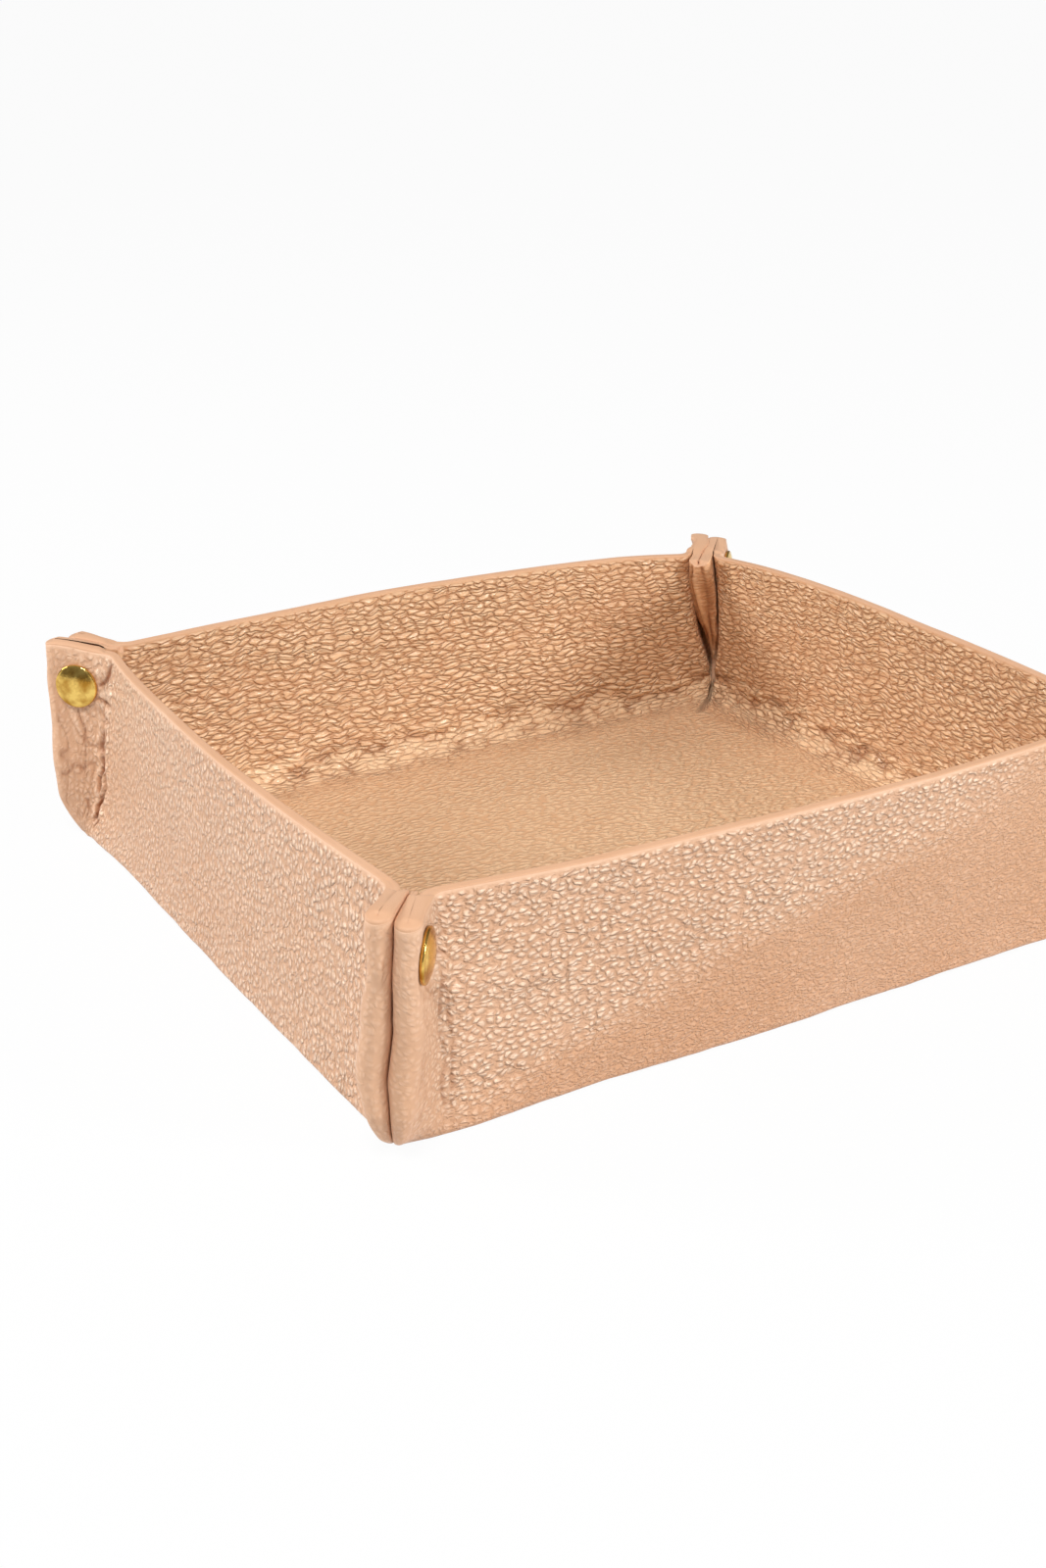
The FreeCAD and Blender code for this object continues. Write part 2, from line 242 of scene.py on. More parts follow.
def wall_line(index, z, inset):
    """Centre and radius of the arc that a wall follows at each height."""
    half_x, half_y = half_sizes(z, inset)
    sag = BASE_BOW + (WALL_BOWS[index] - BASE_BOW) * z / WALL_HEIGHT
    half, stand = (half_x, half_y) if index % 2 == 0 else (half_y, half_x)
    radius = (half ** 2 + sag ** 2) / (2 * sag)
    return (stand + sag - radius)[..., None] * WALL_NORMALS[index], radius


def ear_edge(z, corner):
    """How far an ear stands out from its corner at each height."""
    share = np.clip(z / SHOULDER, 0, 1)
    tuck = FOOT_TUCKS[corner] * (1 - smooth(0, 5, z))
    return EAR_REACH * (1 - (1 - share) ** EAR_ROUNDING) + DIAGONAL_LEAN * z / WALL_HEIGHT - tuck


def gusset_ridge(z, corner):
    """How far out the ridge inside a corner stands at each height."""
    lobe = ramp(SHOULDER, LOBE)
    share = np.clip(z / SHOULDER, 0, 1)
    low = ear_edge(z, corner) - ramp(z, LOBE) - (RUN_FOOT + (RUN_SHOULDER - RUN_FOOT) * share)
    at = EAR_REACH + DIAGONAL_LEAN * SHOULDER / WALL_HEIGHT - lobe - RUN_SHOULDER
    climb = (z - SHOULDER) / (WALL_HEIGHT - SHOULDER)
    return np.where(z <= SHOULDER, low, at + (-GUSSETS[corner] - at) * climb)


def ear_way(corner):
    """Direction that an ear points along; the near one is bent aside."""
    _, sign_x, sign_y = CORNERS[corner]
    angle = math.atan2(sign_y, sign_x) + math.radians(EAR_TURNS[corner])
    return np.array([math.cos(angle), math.sin(angle)])


def sway(z, corner):
    """How far the slit of an ear wanders to one side."""
    line = 0.6 * lattice_line(z / 11, corner * 5.3 + 0.4, SWAY_SEED)
    line += 0.22 * lattice_line(z / 4, corner * 3.1, SWAY_SEED + 1)
    return line * smooth(0, 6, z) * (1 - smooth(30, 39, z))


def slit_half(z):
    """Half of the gap between an ear's lobes, which closes at the foot."""
    return SLIT / 2 * smooth(-6, 6, z)


def pleat_widths(corner, side, z, offset, inner):
    """Half widths of an ear's root and ridge, length of the turn at the root, and how bowed the face is."""
    if inner:
        plump = ramp(z, PLUMP_RIDGE if corner == PLUMP_CORNER else RIDGE) * OPENINGS[corner]
        root = plump + RIDGE_GAP * smooth(6, 20, z) + SKIN - offset
        return root, ramp(z, INNER_TURN), np.maximum(plump - (SKIN - offset), LEAST_RIDGE), np.ones_like(z)
    knots = WIDE_ROOT if (corner, side) in WIDE_SIDES else ROOT
    root, bend = ramp(z, knots) - offset, np.full_like(z, OUTER_TURN)
    return root, bend, slit_half(z) + offset, 1 + 2 * smooth(20, 40, z)


# Which part of half an ear each of its columns is in, and how far along that part.
EAR_PARTS = np.repeat(np.arange(5), EAR_COLS)[:, None]
EAR_SHARES = np.concatenate([*(np.arange(n) / n for n in EAR_COLS[:4]), np.arange(RIDGE_COLS + 1) / RIDGE_COLS])
EAR_SHARES = EAR_SHARES[:, None]


def half_pleat(corner, side, z, inset, offset, inner):
    """Columns of half an ear, from the end of its wall to the middle of the gusset."""
    _, sign_x, sign_y = CORNERS[corner]
    forth = ear_way(corner)
    across = np.array([-forth[1], forth[0]])
    sideways = across * side
    half_x, half_y = half_sizes(z, inset)
    high = smooth(12, WALL_HEIGHT, z)
    tip = np.stack([sign_x * half_x, sign_y * half_y], -1) + across * (EAR_SHIFTS[corner] * high)[..., None]
    root, bend, ridge_half, ease = pleat_widths(corner, side, z, offset, inner)

    # The kink, where the ear's face would leave the wall's arc if the turn were sharp.
    centre, radius = wall_line((corner if side > 0 else corner - 1) % 4, z, inset)
    reach = radius - offset
    start = tip + sideways * root[..., None] - centre
    along = start @ forth
    run = np.sqrt(along ** 2 - (start ** 2).sum(-1) + reach ** 2) - along
    kink = centre + start + run[..., None] * forth
    out_of_wall = (kink - centre) / reach[..., None]
    away = np.stack([-out_of_wall[..., 1], out_of_wall[..., 0]], -1) * side

    # Middles of the fold at the ear's edge and of the ridge.
    lobe = ramp(z, LOBE)
    edge = ear_edge(z, corner) - LOBE_CUTS[corner][side > 0] * high
    wander = across * sway(z, corner)[..., None]
    wander = wander + across * (EAR_BENDS[corner] * high)[..., None]
    fold = tip + (edge - lobe)[..., None] * forth + sideways * (slit_half(z) + lobe)[..., None] + wander
    ridge = tip + gusset_ridge(z, corner)[..., None] * forth + wander * 0.5

    # The turn into the face is rounded off on both sides of the kink.
    lobe_in = np.maximum(lobe - offset, LEAST_LOBE)
    lobe_in, ridge_half, bend, ease = (item[..., None] for item in (lobe_in, ridge_half, bend, ease))

    def to_fold(start):
        face = fold + sideways * lobe_in - start
        return (face @ forth)[..., None], (face @ sideways)[..., None]

    face_forth, face_side = to_fold(kink)
    into = forth * face_forth + sideways * face_side / ease ** 2
    into /= np.linalg.norm(into, axis=-1, keepdims=True)
    wall_end, face_start = kink + away * bend, kink + into * bend
    face_forth, face_side = to_fold(face_start)

    share, turn = EAR_SHARES, EAR_SHARES * math.pi
    parts = (
        wall_end * (1 - share) ** 2 + kink * 2 * share * (1 - share) + face_start * share ** 2,
        face_start + forth * face_forth * share + sideways * face_side * share ** ease,
        fold + (sideways * np.cos(turn) + forth * np.sin(turn)) * lobe_in,
        (fold - sideways * lobe_in) * (1 - share) + (ridge + sideways * ridge_half) * share,
        ridge + (sideways * np.cos(turn / 2) - forth * np.sin(turn / 2)) * ridge_half,
    )
    return np.choose(EAR_PARTS, parts)


def layout():
    """Columns of each corner pleat and of the wall after it, counterclockwise, and how many there are."""
    pleats, walls, at = [], [], 0
    for corner in range(4):
        pleats.append((corner, slice(at, at + 2 * HALF_COLS - 1)))
        at += 2 * HALF_COLS - 1
        walls.append((corner, slice(at, at + WALL_COLS[corner])))
        at += WALL_COLS[corner]
    return pleats, walls, at


PLEATS, WALLS, COLS = layout()


def loop_points(z, inset, offset, inner):
    """Plan of the folded sheet for an array of heights, one row of columns each."""
    out = np.empty(z.shape + (2,))
    for index, span in PLEATS:
        mid = span.start + HALF_COLS
        first = slice(span.start, mid)
        out[:, first] = half_pleat(index, -1, z[:, first], inset[:, first], offset, inner)
        second = slice(mid - 1, span.stop)
        flip = half_pleat(index, 1, z[:, second][:, ::-1], inset[:, second][:, ::-1], offset, inner)
        out[:, mid:span.stop] = flip[:, ::-1][:, 1:]
    for index, span in WALLS:
        count = span.stop - span.start
        centre, radius = wall_line(index, z[:, span], inset[:, span])
        normal = WALL_NORMALS[index]
        tangent = np.array([-normal[1], normal[0]])
        angles = []
        for col in (span.start - 1, span.stop % COLS):
            middle, _ = wall_line(index, z[:, col:col + 1], inset[:, col:col + 1])
            end = out[:, col:col + 1] - middle
            angles.append(np.arctan2(end @ tangent, end @ normal))
        share = (np.arange(count) + 1) / (count + 1)
        share = share - END_CROWDING * np.sin(2 * math.pi * share) / (2 * math.pi)
        angle = (angles[0] * (1 - share) + angles[1] * share)[..., None]
        reach = (radius - offset)[..., None]
        out[:, span] = centre + reach * (normal * np.cos(angle) + tangent * np.sin(angle))
    return out


def rise_profile():
    """Height of the top edge above the wall height, for each column."""

    def steps(count):
        return smooth(0, 1, np.arange(count) / count)

    rise = np.zeros(COLS)
    for corner, span in PLEATS:
        halves = []
        for top in EAR_RISES[corner]:
            crease = np.linspace(0, CREASE_RISE, CREASE_COLS, endpoint=False) * top
            face = top * (CREASE_RISE + (1 - CREASE_RISE) * steps(FACE_COLS))
            fold = top - TIP_DROP * np.sin(np.arange(FOLD_COLS) / FOLD_COLS * math.pi)
            slit = top * (SLIT_RISE + (1 - SLIT_RISE) * (1 - steps(SLIT_COLS)))
            ridge = SLIT_RISE * top - RIDGE_DROP * smooth(0, 1, np.arange(RIDGE_COLS + 1) / RIDGE_COLS)
            halves.append(np.concatenate([crease, face, fold, slit, ridge]))
        rise[span] = np.concatenate([halves[0], halves[1][-2::-1]])
    return rise


def column_length():
    """Distance round the outside of the tray, for each column."""
    z = np.full((1, COLS), WALL_HEIGHT / 2)
    line = loop_points(z, z * 0, 0, False)[0]
    step = np.linalg.norm(np.roll(line, -1, 0) - line, axis=1)
    return np.concatenate([[0], np.cumsum(step)[:-1]])


ALONG = column_length()
PERIMETER = ALONG[-1]


def round_gap(place):
    """Signed distance round the tray from one place to each column."""
    return (ALONG - place + PERIMETER / 2) % PERIMETER - PERIMETER / 2


def rim_lift():
    """How far the rim rises or dips round each corner."""
    lift = np.zeros(COLS)
    for corner, span in PLEATS:
        gap = np.abs(round_gap(ALONG[span.start + HALF_COLS - 1]))
        lift += CORNER_LIFT[corner] * bell(np.maximum(gap - LIFT_PLATEAU, 0), LIFT_SPREAD)
    return lift


RIM_WAVE = 0.35 * lattice_line(ALONG / 34, 3.3, RIM_SEED)
TOP = WALL_HEIGHT + rise_profile() + rim_lift() + RIM_WAVE - EDGE_CROWN


def grid(bottom, edge_radius, offset, rows, inner):
    """Points of one face of the leather, from its turned bottom edge to its rim."""
    low_rows, high_rows = rows
    low = bottom + edge_radius * (1 - np.cos(np.linspace(0, math.pi / 2, low_rows, endpoint=False)))
    share = np.linspace(0, 1, high_rows)[:, None]
    start = bottom + edge_radius
    z = np.concatenate([np.repeat(low[:, None], COLS, 1), start + (TOP - start)[None] * share])
    below = np.clip(start - z, 0, edge_radius)
    inset = edge_radius - np.sqrt(edge_radius ** 2 - below ** 2)
    plan = loop_points(z, inset, offset, inner)
    return np.concatenate([plan, z[..., None]], -1)


def grid_normals(points, sign):
    """Direction square to the leather at each point of a grid."""
    du = np.roll(points, -1, 1) - np.roll(points, 1, 1)
    dv = np.gradient(points, axis=0)
    normal = np.cross(du, dv)
    normal /= np.linalg.norm(normal, axis=-1, keepdims=True) + 1e-9
    return normal * sign


def rivet_place(corner):
    """Middle of a rivet inside its ear, and the direction square to the ear's leaning faces."""
    _, sign_x, sign_y = CORNERS[corner]
    forth = np.append(ear_way(corner), 0)
    lean = np.array([-sign_x * LEAN_LENGTH, -sign_y * LEAN_WIDTH, WALL_HEIGHT])
    foot = np.array([sign_x * BASE_LENGTH / 2, sign_y * BASE_WIDTH / 2, 0])
    tip = foot + lean * RIVET_HEIGHT / WALL_HEIGHT
    reach = EAR_REACH + DIAGONAL_LEAN * RIVET_HEIGHT / WALL_HEIGHT - RIVET_SETBACK
    axis = np.cross(lean, forth)
    axis /= np.linalg.norm(axis)
    if axis @ np.array([-forth[1], forth[0], 0]) < 0:
        axis = -axis
    return tip + forth * reach, axis, forth


def zone_of_columns():
    """How far each column is into an ear: 0 on walls, 1 on folds."""
    crease = np.linspace(0.1, 0.5, CREASE_COLS, endpoint=False)
    face = np.linspace(0.5, 0.85, FACE_COLS, endpoint=False)
    half = [*crease, *face] + [1] * (FOLD_COLS + SLIT_COLS) + [0.9] * (RIDGE_COLS + 1)
    ear = np.zeros(COLS)
    for _, span in PLEATS:
        ear[span] = half + half[-2::-1]
    return ear


EAR = zone_of_columns()


def root_creases(z):
    """Crumpled line where each wall turns into its ear: its height, and how deep in the crease it is."""
    height, deep = np.zeros_like(z), np.zeros_like(z)
    foot, middle, top = smooth(2, 9, z), 1 - 0.6 * smooth(36, 44, z), 1 - smooth(50, 56, z)
    for corner, span in PLEATS:
        for number, col in enumerate((span.start + CREASE_COLS // 2, span.stop - 1 - CREASE_COLS // 2)):
            seed = CREASE_SEED + 2 * corner + number
            here = CREASE_DEPTHS[corner][number] * foot * middle * top
            for strand, width in enumerate(STRAND_WIDTHS):
                wander = 1.2 * lattice_line(z / 6, 0.3 + strand, seed)
                wander += 0.6 * lattice_line(z / 2.2, 0.7, seed)
                gap = round_gap(ALONG[col])[None] - wander - STRAND_GAP * strand
                groove = bell(gap, width) * (0.7 + 0.5 * lattice_line(z / 3, 0.9 + strand, seed))
                lumps = 0.5 + 0.9 * lattice(z / 2.2, gap / 1.5, seed + 9)
                swell = bell(np.abs(gap) - 1.3, 0.7) * lumps
                # Grooves sink and swells rise; deep carries painted shade for the grooves and, as negative
                # values, painted highlight for the swells.
                height += here * (0.45 * swell - 0.8 * groove)
                deep += here * (1.3 * groove - 0.2 * swell)
    return height, deep


def ear_lines(u, z):
    """Thin slanting creases in the soft faces of the ears."""
    slant = lattice(u / 3.2 + z / 8, z / 11 - u / 9, EAR_SEED)
    steep = lattice(u / 2.6 - z / 15, z / 16, EAR_SEED + 1)
    line = bell(slant, 0.10) + 0.7 * bell(steep, 0.09)
    return line * smooth(0.3, 0.55, EAR[None]) * (1 - smooth(0.83, 0.98, EAR[None]))


def head_seat(side):
    """Distance from an ear's middle to the underside of a rivet head, nearer on the post's side."""
    return EAR_HALF - POST_SINK * (side < 0)


def off_axis(away, axis):
    """Distance of points from a rivet's axis."""
    return np.linalg.norm(away - (away @ axis)[..., None] * axis, axis=-1)


def rivet_sides():
    """Both sides of each ear, with its rivet's middle and axis and the ear's direction."""
    for corner in range(4):
        for side in (1, -1):
            yield (corner, side, *rivet_place(corner))


def rivet_pull(points, height, deep):
    """Leather drawn flat under each rivet head, with short folds fanning from it."""
    for corner, side, middle, axis, forth in rivet_sides():
        away = points - (middle + axis * side * head_seat(side))
        proud = away @ axis * side
        near = off_axis(away, axis)
        here = (np.abs(proud) < 2.8) & (near < PULL_SCOPE)
        angle = np.arctan2(away[..., 2], away @ forth)
        waver = 1.6 * np.sin(2 * angle + corner + side)
        rays = np.abs(np.sin(angle * PULL_RAYS + waver + 0.22 * near)) ** 0.5
        band = smooth(6.2, 7.6, near) * (1 - smooth(9, 17, near)) * (1 - smooth(0.72, 0.84, EAR[None]))
        patch = lattice(2.2 * np.cos(angle), 2.2 * np.sin(angle), PULL_SEED + corner)
        band = band * (0.15 + 0.85 * smooth(-0.15, 0.4, patch))
        seated = -proud * (1 - smooth(6.0, HEAD_EASE, near))
        pull = seated + 0.7 * PULLS[corner] * (rays - 0.6) * band
        height = np.where(here, height * smooth(HEAD_CLEAR, HEAD_EASE, near) + pull, height)
        # Painted shade in the valleys between the fanning folds and painted highlight on their crests.
        drawn = PULLS[corner] * band * (1 - smooth(0.25, 0.6, rays) - 0.5 * smooth(0.8, 0.95, rays))
        deep = np.where(here, deep * smooth(HEAD_CLEAR, HEAD_EASE, near) + drawn, deep)
    return height, deep


def under_rivets(points, depth):
    """Keeps the layers of each ear below its rivet heads, at a depth under their seats."""
    scope = 14
    for _, side, middle, axis, _ in rivet_sides():
        away = points - middle
        out = away @ axis * side
        near = off_axis(away, axis)
        over = np.maximum(out - (head_seat(side) - depth + np.maximum(near - HEAD_CLEAR, 0)), 0)
        over = np.where((out > 0) & (out < scope) & (near < scope), over, 0)
        points = points - over[..., None] * axis * side
    return points


def foot_flare(z):
    """Foot of a wall standing out a little beside an ear."""
    height = np.zeros_like(z)
    for corner, span in PLEATS:
        gap = round_gap(ALONG[span.stop % COLS])[None]
        height += FOOT_FLARES[corner] * bell(gap, FLARE_SPREAD) * (1 - smooth(1, 12, z))
    return height


def ridge_folds(z):
    """Two lengthwise folds down the leather that stands up inside the plump corner."""
    span = dict(PLEATS)[PLUMP_CORNER]
    middle = (span.start + span.stop) / 2
    column = np.arange(COLS)[None]
    folds = np.zeros_like(z)
    for number, place in enumerate(RIDGE_FOLDS):
        wander = 2.2 * lattice_line(z / 15, number, RIDGE_SEED)
        uneven = 0.6 + 0.4 * lattice_line(z / 5, 0.5, RIDGE_SEED + 1 + number)
        folds += bell(column - middle - place - wander, 1.5) * uneven
    return folds * smooth(12, 20, z) * (1 - smooth(50, 55, z))


def wrinkles(points, inner):
    """Small real folds of the leather, and how deep each point lies in one as painted shade, negative on crests
    as painted highlight.
    """
    u = ALONG[None]
    z = points[..., 2]
    seed = LINING_SEED if inner else OUTER_SEED
    below = TOP[None] - z
    wall = 1 - EAR[None]
    height = 0.4 * lattice(u / 38, z / 26, seed) * smooth(0, 14, below) * wall
    height += 0.14 * lattice(u / 11, z / 9, seed + 1) * smooth(1, 6, below)
    height += 0.07 * lattice(u / 4.2, z / 3.1, seed + 2) * smooth(1, 4, below) * (0.4 + 0.6 * wall)
    if inner:
        # Folds crowd where the walls rise from the floor, and crumple the ridges in the corners.
        crowd = bell(z - FLOOR_TOP - 4.0, 5.0) * wall
        folds = 0.8 * lattice(u / 6.0 + 0.35 * z, z / 2.2, seed + 3)
        folds += 0.6 * lattice(u / 2.8 - 0.3 * z, z / 1.6, seed + 4)
        column = np.arange(COLS)[None]
        crumple = 0.55 * lattice(column / 5, z / 13, seed + 5) + 0.2 * lattice(column / 3, z / 5, seed + 6)
        pleat = smooth(0.6, 0.9, EAR[None])
        lengthwise = ridge_folds(z)
        height += folds * crowd + crumple * pleat - 0.7 * lengthwise
        # Painted highlight on the cove's fold crests, a little over the whole cove, and on the crumpled ridges;
        # painted shade along the ridge's lengthwise folds.
        crests = 0.9 * folds * crowd + 0.15 * crowd + (1.6 * crumple + 0.45) * pleat
        return height, np.clip(1.3 * lengthwise - crests, -1, 1)
    creases, deep = root_creases(z)
    lines = ear_lines(u, z) * smooth(2, 8, below) * smooth(3, 9, z)
    for corner, span in PLEATS:
        lines[:, span] *= PULLS[corner]
    height = height + creases - 0.17 * lines + foot_flare(z)
    # The ear lines also get painted shade.
    height, deep = rivet_pull(points, height, deep + 0.36 * lines)
    return height, np.clip(deep, -1, 1)


def bridge_ears(field):
    """Passes a field on evenly through each ear, from wall to wall."""
    for _, span in PLEATS:
        before, after = field[..., span.start - 1, None], field[..., span.stop % COLS, None]
        share = np.linspace(0, 1, span.stop - span.start)
        field[..., span] = before * (1 - share) + after * share
    return field


def spread(values):
    """One value for each wall, passed on through the ears between them."""
    out = np.empty(COLS)
    for index, span in WALLS:
        out[span] = values[index]
    return bridge_ears(out)


def hide_places(face, floor, pebbles):
    """Each point's place on the sheet, counted in pebbles round the tray and up from the floor."""
    wide, tall = (spread(values) for values in zip(*pebbles))
    first = PLEATS[1][1].start + HALF_COLS - 1
    line = face[2 * len(face) // 3]
    step = np.roll(np.linalg.norm(np.roll(line, -1, 0) - line, axis=1) / wide, -first)
    round_tray = np.roll(np.concatenate([[0], np.cumsum(step)[:-1]]), first)
    stack = np.concatenate([floor[::-1], face])
    rise = np.linalg.norm(np.diff(stack, axis=0), axis=-1)
    climb = np.concatenate([np.zeros((1, COLS)), np.cumsum(rise, 0)])
    climb -= climb[len(floor)]
    return np.stack([np.repeat(round_tray[None], len(stack), 0), climb / tall, climb * 0], -1)


def fullness(points, inner):
    """How full the pebbles of a wall stand, from 0 for a fine grain to 1."""
    x, z = points[..., 0], points[..., 2]
    patch = lattice(ALONG / 26, z / 20, LINING_PATCH_SEED if inner else OUTER_PATCH_SEED)
    full = np.empty_like(z)
    for index, span in WALLS:
        spot, up = patch[:, span], z[:, span]
        if inner:
            full[:, span] = LINING_FULLNESS[index] + 0.15 * spot
        elif index == 0:
            line = FULL_LINE_HEIGHT + FULL_LINE_SLOPE * (x[:, span] - FULL_LINE_START)
            full[:, span] = 0.18 + 0.8 * smooth(-7, 9, up - line + 5 * spot)
        elif index == 3:
            full[:, span] = 0.72 + 0.12 * spot + 0.15 * smooth(30, 56, up)
        else:
            full[:, span] = 0.45 + 0.3 * spot
    return np.clip(bridge_ears(full), 0, 1)


def new_piece(name, vertices, faces):
    """A smooth mesh object from points in millimetres."""
    mesh = bpy.data.meshes.new(name)
    mesh.from_pydata((vertices * MM).tolist(), [], faces)
    mesh.validate()
    mesh.polygons.foreach_set("use_smooth", [True] * len(mesh.polygons))
    piece = bpy.data.objects.new(name, mesh)
    bpy.context.collection.objects.link(piece)
    return piece


def leather_mesh(name, vertices, faces, zones, hide, fold_shade_and_highlight):
    """A piece of leather that carries what its material needs at each point."""
    piece = new_piece(name, vertices, faces)
    for label, kind, field, values in (
        ("zones", "FLOAT_COLOR", "color", zones),
        ("hide", "FLOAT_VECTOR", "vector", hide),
        ("fold_shade_and_highlight", "FLOAT", "value", fold_shade_and_highlight),
    ):
        layer = piece.data.attributes.new(label, kind, "POINT")
        layer.data.foreach_set(field, values.astype(np.float32).ravel())
    return piece


def quads(rows, flip):
    """Faces between the rows of a closed band of columns."""
    r, c = np.meshgrid(np.arange(rows - 1), np.arange(COLS), indexing="ij")
    n = (c + 1) % COLS
    a, b = r * COLS + c, r * COLS + n
    d, e = (r + 1) * COLS + n, (r + 1) * COLS + c
    order = (a, e, d, b) if flip else (a, b, d, e)
    return np.stack(order, -1).reshape(-1, 4).tolist()


def closed_faces(rows, inner):
    """Faces of a whole leather: its rows, and a fan round a middle point at either end of them."""
    cols = np.arange(COLS)
    following = (cols + 1) % COLS
    middles, end = rows * COLS, (rows - 1) * COLS
    low_fan = np.stack([np.full(COLS, middles), following, cols], -1)
    high_fan = np.stack([np.full(COLS, middles + 1), end + cols, end + following], -1)
    fans = np.concatenate([low_fan, high_fan])
    return quads(rows, inner) + (fans[:, ::-1] if inner else fans).tolist()


def floor_rings(line, rings, blend):
    """Rings of a flat floor inside a loop, its pleats eased away, shrinking to the middle."""
    clear = line.copy()
    for corner, span in PLEATS:
        share = np.linspace(0, 1, span.stop - span.start)[:, None]
        chord = line[span.start] * (1 - share) + line[span.stop - 1] * share
        bulge = np.append(ear_way(corner), 0) * FLOOR_BULGE
        clear[span] = chord + bulge * np.sin(share * math.pi)
    middle = np.array([0, 0, line[0, 2]])
    out = []
    for ring in range(1, rings):
        ease = min(ring / blend, 1)
        base = line * (1 - ease) + clear * ease
        out.append(middle + (base - middle) * (1 - ring / rings) ** RING_CROWDING)
    return np.array(out)


def leather_face(leather):
    """The side of a leather that shows, with its wrinkles, and the painted shade of their folds and painted
    highlight of their crests.
    """
    face = grid(leather.bottom, leather.edge_radius, leather.offset, FACE_ROWS, leather.inner)
    normal = grid_normals(face, -1 if leather.inner else 1)
    ease = smooth(0, 2, np.arange(len(face)))[:, None, None]
    shift, deep = wrinkles(face, leather.inner)
    face = face + normal * shift[..., None] * ease
    face[..., 2] = np.maximum(face[..., 2], leather.bottom)
    return under_rivets(face, leather.offset), deep


def leather_floor(line, leather):
    """Floor inside a face's lowest loop; the lining's is slightly uneven."""
    floor = floor_rings(line, leather.rings, FLOOR_BLEND)
    if leather.inner:
        x, y = floor[..., 0], floor[..., 1]
        swell = 0.10 * lattice(x / 21 + 9, y / 17 + 9, FLOOR_SEED)
        swell += 0.05 * lattice(x / 5 + 9, y / 4 + 9, FLOOR_SEED + 1)
        floor[..., 2] += (swell + 0.05) * smooth(0, 8, np.arange(len(floor)))[:, None]
    return floor


def leather_zones(face, floor, rows, inner):
    """Shares of ear, border and floor and the pebbles' fullness at each point, for the material."""
    zones = np.zeros((rows, COLS, 4))
    on_floor, on_face = slice(0, len(floor)), slice(len(floor), len(floor) + len(face))
    zones[..., 3] = BACK_FULLNESS
    zones[on_face, :, 0] = EAR * smooth(7, 18, face[..., 2]) if inner else EAR
    zones[on_face, :, 1] = 1 - smooth(0.4, 1.5, TOP[None] - face[..., 2])
    zones[on_face, :, 3] = fullness(face, inner)
    x, y = floor[..., 0], floor[..., 1]
    rim_way = np.minimum(BASE_LENGTH / 2 - np.abs(x), BASE_WIDTH / 2 - np.abs(y))
    grain = 0.10 + 0.16 * smooth(-40, 90, x) + 0.06 * lattice(x / 30 + 5, y / 30 + 5, GRAIN_SEED)
    near = 1 - smooth(8, 22, rim_way + 4 * lattice(x / 9 + 7, y / 9 + 7, GRAIN_SEED + 1))
    zones[on_floor, :, 3] = (grain * (1 - near) + 0.8 * near)[::-1]
    zones[on_floor, :, 2] = (1 - near)[::-1]
    return zones


def leather_piece(name, leather):
    """A closed leather: detailed face with its floor, plain back, and the rim between them."""
    face, deep = leather_face(leather)
    floor = leather_floor(face[0], leather)
    back = grid(leather.back_bottom, leather.back_radius, leather.back_offset, BACK_ROWS, leather.inner)
    back = under_rivets(back, leather.back_offset)
    back_floor = floor_rings(back[0], BACK_RINGS, BACK_BLEND)
    stack = np.concatenate([floor[::-1], face, back[::-1], back_floor], 0)
    shown = len(floor) + len(face)
    zones = leather_zones(face, floor, len(stack), leather.inner)
    hide, fold_shade_and_highlight = np.zeros(stack.shape), np.zeros(stack.shape[:2])
    hide[:shown] = hide_places(face, floor, leather.pebbles)
    fold_shade_and_highlight[len(floor):shown] = deep

    def closed(values, low, high):
        return np.concatenate([values.reshape(len(stack) * COLS, -1), [low, high]])

    piece = leather_mesh(
        name,
        closed(stack, stack[0].mean(0), stack[-1].mean(0)),
        closed_faces(len(stack), leather.inner),
        closed(zones, MIDDLE_ZONES, MIDDLE_ZONES),
        closed(hide, (0, 0, 0), (0, 0, 0)),
        closed(fold_shade_and_highlight, (0,), (0,)),
    )
    return piece, face


def lobe_tops(inner_top):
    """Draws the two inner edges of each lobe together, and says how closed each column is."""
    closed = np.zeros(COLS)
    inner_top = inner_top.copy()
    fold_at = CREASE_COLS + FACE_COLS
    for corner, span in PLEATS:
        forth = ear_way(corner)
        for side in (-1, 1):
            cols = np.arange(HALF_COLS - RIDGE_COLS - 1)
            cols = span.start + cols if side < 0 else span.stop - 1 - cols
            sideways = np.array([-forth[1], forth[0]]) * side
            plan = inner_top[cols, :2]
            reach, aside = plan @ forth, plan @ sideways
            middle = slice(fold_at, fold_at + FOLD_COLS)
            tip, tip_aside = reach[middle].mean(), aside[middle].mean()
            mouth, mouth_aside = reach[CREASE_COLS], aside[CREASE_COLS] - 0.2
            share = np.clip((tip - reach) / (tip - mouth), 0, 1)
            weight = smooth(-1.0, 1.5, reach - mouth)
            weight[:CREASE_COLS] = 0
            target = tip_aside + (mouth_aside - tip_aside) * share
            inner_top[cols, :2] += sideways * ((target - aside) * weight)[:, None]
            closed[cols] = weight
    return inner_top, closed


